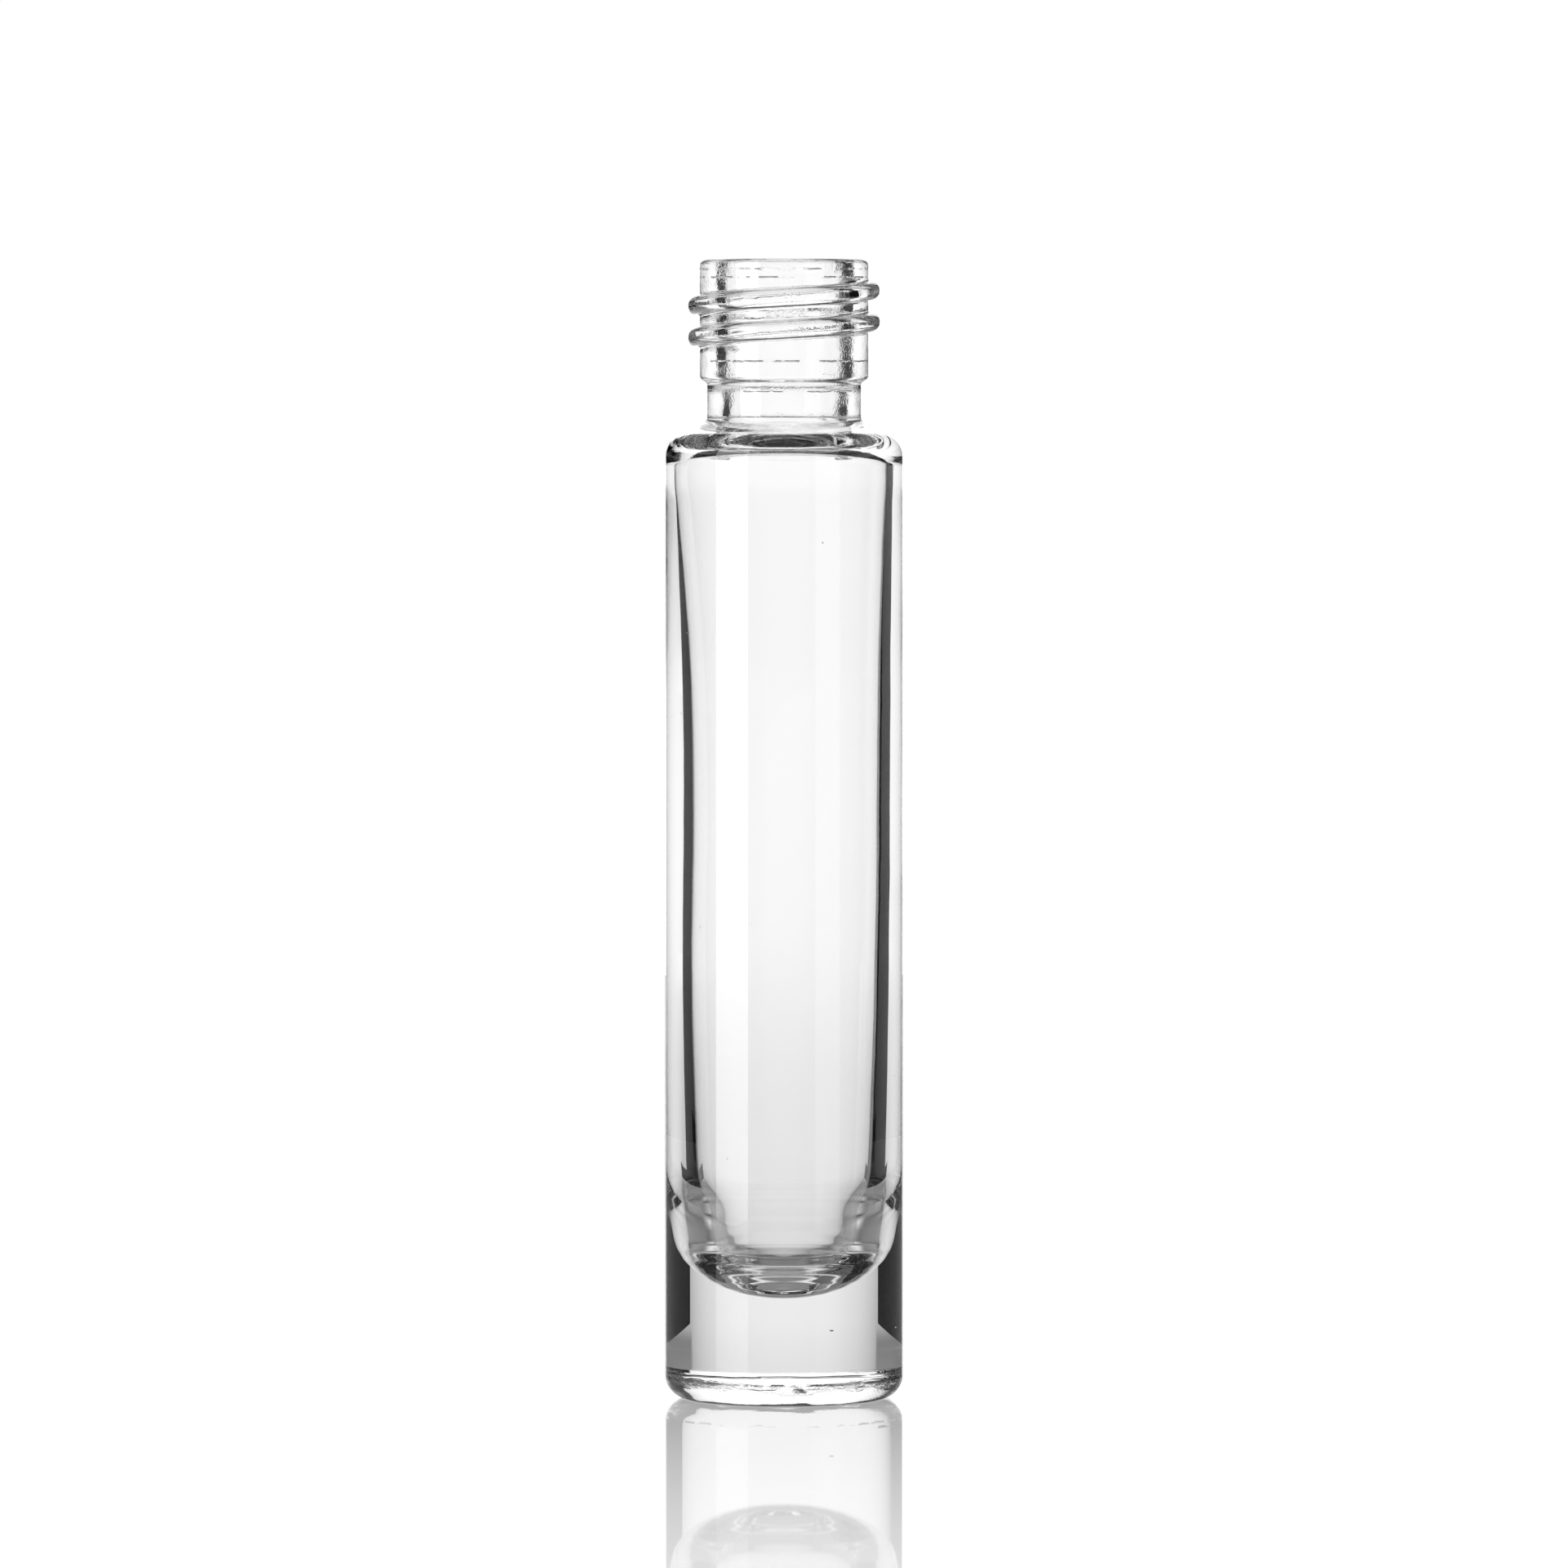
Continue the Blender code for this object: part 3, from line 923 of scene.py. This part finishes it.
def panel_strength(tree, place):
    """Diffusing panel lit from behind: even in its middle, dimmer at its sides and at its foot.

    It is stronger in the floor's mirror, so that the bare floor stays white round the bottle's reflection.
    """
    math_node, map_node = "ShaderNodeMath", "ShaderNodeMapRange"
    parts = add_node(tree, "ShaderNodeSeparateXYZ", {}, {0: place}).outputs
    by_height = add_node(
        tree, map_node, {},
        {
            "Value": parts[2], "From Max": PANEL_FOOT_HEIGHT,
            "To Min": PANEL_FOOT_STRENGTH, "To Max": PANEL_STRENGTH,
        },
    ).outputs[0]
    aside = add_node(tree, math_node, {"operation": "ARCTAN2"}, {0: parts[0], 1: parts[1]}).outputs[0]
    size = add_node(tree, math_node, {"operation": "ABSOLUTE"}, {0: aside}).outputs[0]
    share = add_node(
        tree, math_node, {"operation": "DIVIDE", "use_clamp": True},
        {0: size, 1: math.radians(PANEL_HALF_ANGLE)},
    ).outputs[0]
    lost = add_node(tree, math_node, {"operation": "POWER"}, {0: share, 1: PANEL_SIDE_POWER}).outputs[0]
    kept = add_node(tree, math_node, {"operation": "SUBTRACT"}, {0: 1.0, 1: lost}).outputs[0]
    strength = add_node(tree, math_node, {"operation": "MULTIPLY"}, {0: by_height, 1: kept}).outputs[0]
    path = add_node(tree, "ShaderNodeLightPath", {}, {}).outputs
    not_through = add_node(
        tree, math_node, {"operation": "SUBTRACT", "use_clamp": True},
        {0: path["Is Glossy Ray"], 1: path["Is Transmission Ray"]},
    ).outputs[0]
    mirrored = add_node(
        tree, "ShaderNodeMix", {"data_type": "FLOAT"}, {0: not_through, 2: 1.0, 3: PANEL_MIRRORED_GAIN}
    ).outputs[0]
    return add_node(tree, math_node, {"operation": "MULTIPLY"}, {0: strength, 1: mirrored}).outputs[0]


def by_distance(tree, distance, stations):
    """Strength on straight lines through (distance, strength) stations."""
    strength = stations[0][1]
    for (near, low), (far, high) in zip(stations, stations[1:]):
        rise = add_node(
            tree, "ShaderNodeMapRange", {},
            {"Value": distance, "From Min": near, "From Max": far, "To Max": high - low},
        ).outputs[0]
        strength = add_node(tree, "ShaderNodeMath", {"operation": "ADD"}, {0: rise, 1: strength}).outputs[0]
    return strength


def painted_light_strength(tree, place):
    """Painted light and shade on a glowing sheet that stands in for pale matt paper on the table: painted light
    in a wedge between the cards' painted shadows, and painted shade near the bottle.

    Under the base and beside it lie painted rings of light, standing in for the light glass gathers, which its
    bowl and flanks show. They are drawn by their distance from the bottle.
    """
    distance = add_node(tree, "ShaderNodeVectorMath", {"operation": "LENGTH"}, {0: place}).outputs["Value"]
    parts = add_node(tree, "ShaderNodeSeparateXYZ", {}, {0: place}).outputs
    math_node, map_node = "ShaderNodeMath", "ShaderNodeMapRange"
    along = by_distance(tree, distance, PAINTED_OPEN_LIGHT)

    # The painted lit wedge, with the cards' painted shadows beside it
    past = add_node(
        tree, math_node, {"operation": "SUBTRACT"}, {0: parts[1], 1: SHEET_SPREAD_START}
    ).outputs[0]
    reach = add_node(tree, math_node, {"operation": "MULTIPLY"}, {0: past, 1: SHEET_SPREAD}).outputs[0]
    aside = add_node(tree, math_node, {"operation": "ABSOLUTE"}, {0: parts[0]}).outputs[0]
    inside = add_node(tree, math_node, {"operation": "SUBTRACT"}, {0: reach, 1: aside}).outputs[0]
    lit = add_node(
        tree, map_node, {"interpolation_type": "SMOOTHSTEP"}, {"Value": inside, "From Max": SHEET_EDGE}
    ).outputs[0]
    beyond = add_node(
        tree, map_node, {"interpolation_type": "SMOOTHSTEP"},
        {"Value": distance, "From Min": SHEET_OPEN[0], "From Max": SHEET_OPEN[1]},
    ).outputs[0]
    back = add_node(
        tree, map_node, {"interpolation_type": "SMOOTHSTEP"},
        {"Value": parts[1], "From Min": SIDE_LIGHT_BACK[0], "From Max": SIDE_LIGHT_BACK[1]},
    ).outputs[0]
    open_behind = add_node(tree, math_node, {"operation": "MULTIPLY"}, {0: beyond, 1: back}).outputs[0]
    open_or_lit = add_node(tree, math_node, {"operation": "MAXIMUM"}, {0: lit, 1: open_behind}).outputs[0]
    share = add_node(
        tree, math_node, {"operation": "DIVIDE", "use_clamp": True}, {0: aside, 1: reach}
    ).outputs[0]
    squared = add_node(tree, math_node, {"operation": "MULTIPLY"}, {0: share, 1: share}).outputs[0]
    fall = add_node(
        tree, map_node, {},
        {"Value": distance, "From Max": SHEET_EVEN_REACH, "To Min": SHEET_SIDE_FALL, "To Max": 0.0},
    ).outputs[0]
    lost = add_node(tree, math_node, {"operation": "MULTIPLY"}, {0: squared, 1: fall}).outputs[0]
    kept = add_node(tree, math_node, {"operation": "SUBTRACT"}, {0: 1.0, 1: lost}).outputs[0]
    bright = add_node(tree, math_node, {"operation": "MULTIPLY"}, {0: along, 1: kept}).outputs[0]
    # Painted rings of light beside the bottle, and painted shade where the cards' shadows fall behind it
    side_light = by_distance(tree, distance, SIDE_LIGHT)
    shaded = by_distance(tree, distance, PAINTED_CARD_SHADE)
    off = add_node(
        tree, "ShaderNodeMix", {"data_type": "FLOAT"}, {0: back, 2: side_light, 3: shaded}
    ).outputs[0]
    beside = add_node(
        tree, "ShaderNodeMix", {"data_type": "FLOAT"}, {0: open_or_lit, 2: off, 3: bright}
    ).outputs[0]

    # Painted rings of light under the base
    near = add_node(
        tree, math_node, {"operation": "LESS_THAN"}, {0: distance, 1: PAINTED_BASE_RINGS[-1][0]}
    ).outputs[0]
    under = by_distance(tree, distance, PAINTED_BASE_RINGS)
    return add_node(tree, "ShaderNodeMix", {"data_type": "FLOAT"}, {0: near, 2: beside, 3: under}).outputs[0]


def pale_sheet():
    """Round sheet of painted light and shadow on the table under the lights, seen only in and through the
    glass.
    """
    mesh = bpy.data.meshes.new("pale_sheet")
    shape = bmesh.new()
    bmesh.ops.create_circle(shape, cap_ends=True, segments=CARD_STEPS, radius=PANEL_RADIUS)
    bmesh.ops.translate(shape, verts=shape.verts, vec=(0, 0, SHEET_THICKNESS))
    shape.to_mesh(mesh)
    shape.free()
    # Its material glows with painted light and painted shadow, in place of paper lit by the lamps
    mesh.materials.append(glowing("painted_light_and_shadow_glow", painted_light_strength))
    return new_object("pale_sheet", mesh)


def black_card():
    """Black velvet on card: it swallows light, so the glass shows it as an even, crisp dark edge."""
    material = bare_material("black_velvet_card")
    tree = material.node_tree
    dark = add_node(
        tree, "ShaderNodeEmission", {}, {"Color": to_linear("#101010"), "Strength": 1.0}
    ).outputs[0]
    add_node(tree, "ShaderNodeOutputMaterial", {}, {"Surface": dark})
    return material


def white_acrylic():
    """Glossy white acrylic: it mirrors what stands on it, less and less away from the bottle."""
    material = bare_material("white_acrylic_sheet")
    tree = material.node_tree
    place = add_node(tree, "ShaderNodeTexCoord", {}, {}).outputs["Object"]
    distance = add_node(tree, "ShaderNodeVectorMath", {"operation": "LENGTH"}, {0: place}).outputs["Value"]
    fade = add_node(
        tree, "ShaderNodeMapRange", {},
        {
            "Value": distance, "From Min": BODY_DIAMETER / 2, "From Max": GLOSS_REACH,
            "To Min": CONTACT_GLOSS, "To Max": FAR_GLOSS,
        },
    ).outputs["Result"]
    path = add_node(tree, "ShaderNodeLightPath", {}, {}).outputs
    full = add_node(
        tree, "ShaderNodeMix", {"data_type": "FLOAT"}, {0: path["Is Camera Ray"], 2: 1.0, 3: fade}
    ).outputs[0]
    fresnel = add_node(tree, "ShaderNodeFresnel", {}, {"IOR": ACRYLIC_IOR}).outputs[0]
    gloss_share = add_node(
        tree, "ShaderNodeMath", {"operation": "MULTIPLY"}, {0: fresnel, 1: full}
    ).outputs[0]
    diffuse = add_node(tree, "ShaderNodeBsdfDiffuse", {}, {"Color": to_linear("#E4E4E4")}).outputs[0]
    white = add_node(
        tree, "ShaderNodeEmission", {}, {"Color": to_linear("#FFFFFF"), "Strength": 1.0}
    ).outputs[0]
    clear_of_shadow = add_node(
        tree, "ShaderNodeMapRange", {},
        {"Value": distance, "From Max": SHADOW_REACH, "To Min": CONTACT_WHITE, "To Max": 1.0},
    ).outputs["Result"]
    white_share = add_node(
        tree, "ShaderNodeMath", {"operation": "MULTIPLY"}, {0: path["Is Camera Ray"], 1: clear_of_shadow}
    ).outputs[0]
    under = add_node(tree, "ShaderNodeMixShader", {}, {0: white_share, 1: diffuse, 2: white}).outputs[0]
    mirror = add_node(
        tree, "ShaderNodeBsdfGlossy", {}, {"Color": to_linear("#E8E8E8"), "Roughness": ACRYLIC_ROUGHNESS}
    ).outputs[0]
    sheet = add_node(tree, "ShaderNodeMixShader", {}, {0: gloss_share, 1: under, 2: mirror}).outputs[0]
    add_node(tree, "ShaderNodeOutputMaterial", {}, {"Surface": sheet})
    return material


def acrylic_floor():
    """Sheet of acrylic that the bottle stands on."""
    bpy.ops.mesh.primitive_plane_add(size=FLOOR_SIZE)
    floor = bpy.context.object
    floor.name = "acrylic_floor"
    floor.data.materials.append(white_acrylic())
    return floor


def studio_world():
    """White to the camera, a dark room to the glass, and soft light on the floor."""
    world = bpy.data.worlds.new("pale_studio")
    world.use_nodes = True
    bpy.context.scene.world = world
    tree = world.node_tree
    tree.nodes.clear()
    path = add_node(tree, "ShaderNodeLightPath", {}, {}).outputs
    to_glass = add_node(
        tree, "ShaderNodeMix", {"data_type": "FLOAT"},
        {0: path["Is Diffuse Ray"], 2: ROOM_STRENGTH, 3: SOFT_LIGHT_STRENGTH},
    ).outputs[0]
    strength = add_node(
        tree, "ShaderNodeMix", {"data_type": "FLOAT"}, {0: path["Is Camera Ray"], 2: to_glass, 3: 1.0}
    ).outputs[0]
    light = add_node(
        tree, "ShaderNodeBackground", {}, {"Color": to_linear("#FFFFFF"), "Strength": strength}
    ).outputs[0]
    add_node(tree, "ShaderNodeOutputWorld", {}, {"Surface": light})


def softbox(name, angle, distance, width, height, middle, power, rig):
    """Rectangular lamp that faces the bottle, at an angle from straight behind it."""
    lamp = bpy.data.lights.new(name, "AREA")
    lamp.shape = "RECTANGLE"
    lamp.size = width
    lamp.size_y = height
    lamp.energy = power
    obj = new_object(name, lamp)
    turn = math.radians(angle)
    obj.location = (distance * math.sin(turn), distance * math.cos(turn), middle)
    obj.rotation_euler = (Vector((0, 0, middle)) - obj.location).to_track_quat("-Z", "Y").to_euler()
    obj.visible_camera = False
    obj.parent = rig
    return obj


def photo_camera():
    """Camera in the photograph's place."""
    data = bpy.data.cameras.new("camera")
    data.lens = LENS
    data.sensor_width = SENSOR
    data.clip_start = CLIP_START
    data.clip_end = CLIP_END
    camera = new_object("camera", data)
    camera.location = (0, -CAMERA_DISTANCE, CAMERA_HEIGHT)
    target = Vector((0, 0, CAMERA_TARGET_HEIGHT))
    camera.rotation_euler = (target - camera.location).to_track_quat("-Z", "Y").to_euler()
    bpy.context.scene.camera = camera
    return camera


glass = blown_bottle()
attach(glass, "root")
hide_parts("bottle")

camera = photo_camera()
studio_world()
acrylic_floor()

# The cards and lamps stand round the bottle on a turntable that keeps facing the camera, so that each view of
# the bottle has the same light behind it. The camera sees none of them. Of the cards, only the panel and the
# far flags show in reflections, and only the panel, the near flags and the sheet show through the glass
rig = new_object("light_turntable", None)
follow = rig.constraints.new("LOCKED_TRACK")
follow.target = camera
follow.track_axis = "TRACK_NEGATIVE_Y"
follow.lock_axis = "LOCK_Z"

black = black_card()
panel = glowing("backlit_diffuser", panel_strength)
cards = [
    curved_card("back_panel", PANEL_RADIUS, (-PANEL_HALF_ANGLE, PANEL_HALF_ANGLE), PANEL_HEIGHT, panel),
    curved_card("far_left_flag", FAR_FLAG_RADIUS, FAR_FLAG_LEFT_ANGLES, FLAG_HEIGHT, black),
    curved_card("far_right_flag", FAR_FLAG_RADIUS, FAR_FLAG_RIGHT_ANGLES, FLAG_HEIGHT, black),
]
near_cards = [
    side_flag("left_flag", -1, LEFT_FLAG_BACK, black),
    side_flag("right_flag", 1, RIGHT_FLAG_BACK, black),
    pale_sheet(),
]
for card in cards + near_cards:
    card.parent = rig
    card.visible_camera = False
    card.visible_diffuse = False
    card.visible_shadow = False
for card in cards[1:]:
    card.visible_transmission = False
for card in near_cards:
    card.visible_glossy = False

for name, angle, distance, width, height, middle, power in SOFTBOXES:
    softbox(name, angle, distance, width, height, middle, power, rig)

view = bpy.context.scene.view_settings
view.view_transform = "Standard"
light_paths = bpy.context.scene.cycles
light_paths.max_bounces = MAX_BOUNCES
light_paths.glossy_bounces = GLOSSY_BOUNCES
light_paths.transmission_bounces = MAX_BOUNCES
